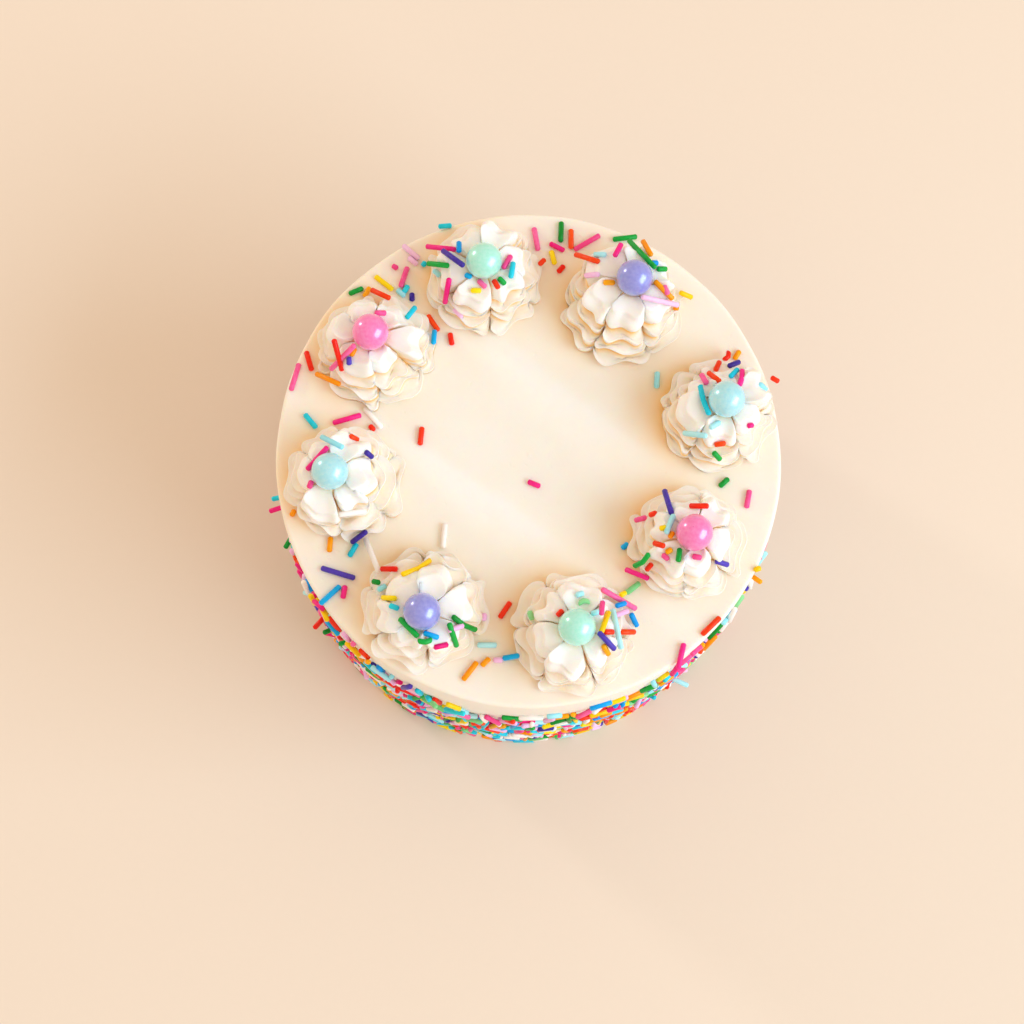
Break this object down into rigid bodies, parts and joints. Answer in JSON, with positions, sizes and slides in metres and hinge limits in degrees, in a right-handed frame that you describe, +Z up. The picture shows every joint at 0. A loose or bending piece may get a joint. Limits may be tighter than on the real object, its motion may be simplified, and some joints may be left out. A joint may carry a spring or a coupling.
{
  "type": "birthday cake",
  "caption": "Small round frosted birthday cake with a flat top, piped rosettes each holding a sugar pearl, and sprinkles thick round the lower side.",
  "frame": {"origin": "on the cake's axis at its flat base", "axes": "+Z up along the cake's axis, -Y towards the side nearest the picture's lower edge"},
  "size_m": [0.1601, 0.1581, 0.1436],
  "materials": {
    "icing": "smooth cream-white buttercream, satin, with coloured sprinkles",
    "pearl_blue": "pearl-coated sugar, light blue",
    "pearl_lavender": "pearl-coated sugar, lavender",
    "pearl_mint": "pearl-coated sugar, mint green",
    "pearl_pink": "pearl-coated sugar, pink"
  },
  "bodies": {
    "root": {"cake": "icing", "rosette_1": "icing", "rosette_2": "icing", "rosette_3": "icing", "rosette_4": "icing", "rosette_5": "icing", "rosette_6": "icing", "rosette_7": "icing", "rosette_8": "icing", "pearl_1": "pearl_blue", "pearl_2": "pearl_lavender", "pearl_3": "pearl_mint", "pearl_4": "pearl_pink", "pearl_5": "pearl_blue", "pearl_6": "pearl_lavender", "pearl_7": "pearl_mint", "pearl_8": "pearl_pink"}
  },
  "joints": []
}
